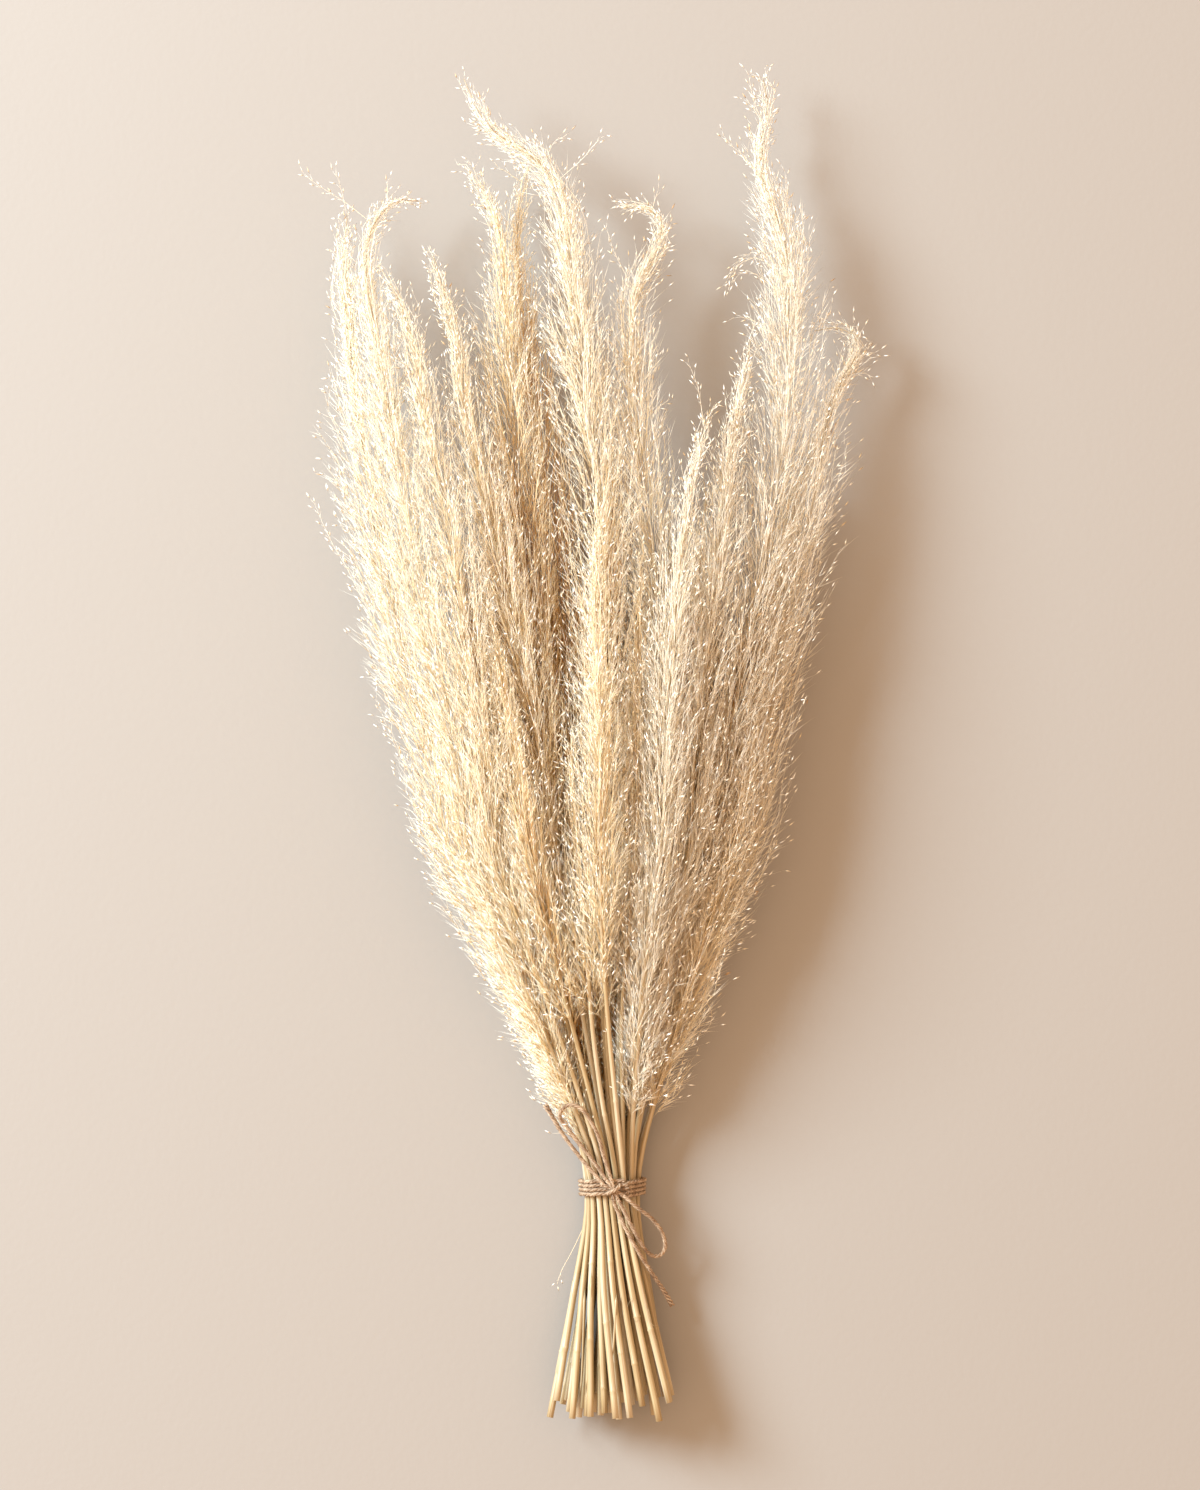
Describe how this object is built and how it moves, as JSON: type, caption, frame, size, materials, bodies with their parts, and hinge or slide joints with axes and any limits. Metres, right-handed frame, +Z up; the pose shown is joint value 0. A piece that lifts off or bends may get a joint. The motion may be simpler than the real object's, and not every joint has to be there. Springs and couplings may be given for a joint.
{
  "type": "bundle of dried bent grass",
  "caption": "Bundle of dried bent grass with feathery heads, tied near the cut ends with jute twine in a bow, lying on its side.",
  "frame": {"origin": "middle of the box round the culms and the tie, at the height of the surface that the bundle lies on", "axes": "+Y along the bundle towards the tips of the heads, +Z up from the surface, +X to the right when seen from above with the heads away"},
  "size_m": [0.3134, 0.7532, 0.0819],
  "materials": {
    "straw": "dry pale straw: satin stems, matte feathery heads",
    "jute": "twisted hairy jute twine, matte"
  },
  "bodies": {
    "root": {"culm_01": "straw", "culm_02": "straw", "culm_03": "straw", "culm_04": "straw", "culm_05": "straw", "culm_06": "straw", "culm_07": "straw", "culm_08": "straw", "culm_09": "straw", "culm_10": "straw", "culm_11": "straw", "culm_12": "straw", "culm_13": "straw", "culm_14": "straw", "culm_15": "straw", "culm_16": "straw", "culm_17": "straw", "culm_18": "straw", "culm_19": "straw", "culm_20": "straw", "culm_21": "straw", "culm_22": "straw", "culm_23": "straw", "culm_24": "straw", "culm_25": "straw", "culm_26": "straw", "culm_27": "straw", "culm_28": "straw", "culm_29": "straw", "culm_30": "straw", "culm_31": "straw", "culm_32": "straw", "culm_33": "straw", "culm_34": "straw", "culm_35": "straw", "culm_36": "straw", "culm_37": "straw", "culm_38": "straw", "culm_39": "straw", "culm_40": "straw", "culm_41": "straw", "culm_42": "straw", "twine_tie": "jute", "twine_loop_upper": "jute", "twine_tail_upper": "jute", "twine_loop_lower": "jute", "twine_tail_lower": "jute"}
  },
  "joints": []
}
